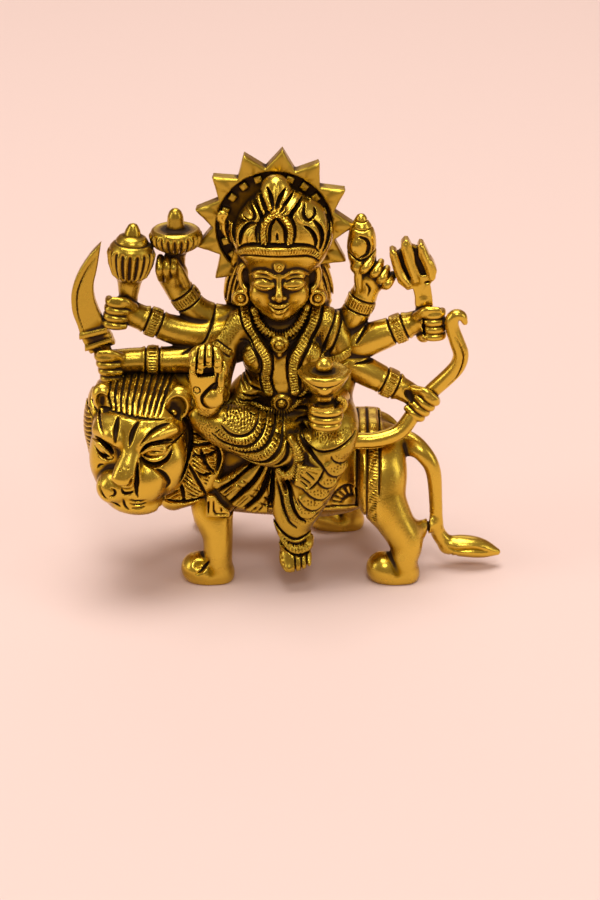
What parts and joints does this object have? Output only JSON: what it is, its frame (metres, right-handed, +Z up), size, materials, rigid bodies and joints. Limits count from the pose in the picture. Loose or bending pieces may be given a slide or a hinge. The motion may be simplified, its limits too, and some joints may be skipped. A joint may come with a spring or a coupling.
{
  "type": "durga figure on a lion",
  "caption": "Cast brass figure of an eight-armed goddess seated on a standing lion, with held emblems and a rayed halo.",
  "frame": {"origin": "on the floor under the middle of the casting's box", "axes": "+Z up; +X from the lion's head to its tail, the viewer's right in front of the figure; -Y is the side that the goddess and the lion's face look to"},
  "size_m": [0.0996, 0.0462, 0.1],
  "materials": {
    "cast_brass": "cast brass, rubbed bright on the raised parts, dark brown patina left in the recesses"
  },
  "bodies": {
    "root": {"durga_on_lion": "cast_brass"}
  },
  "joints": []
}
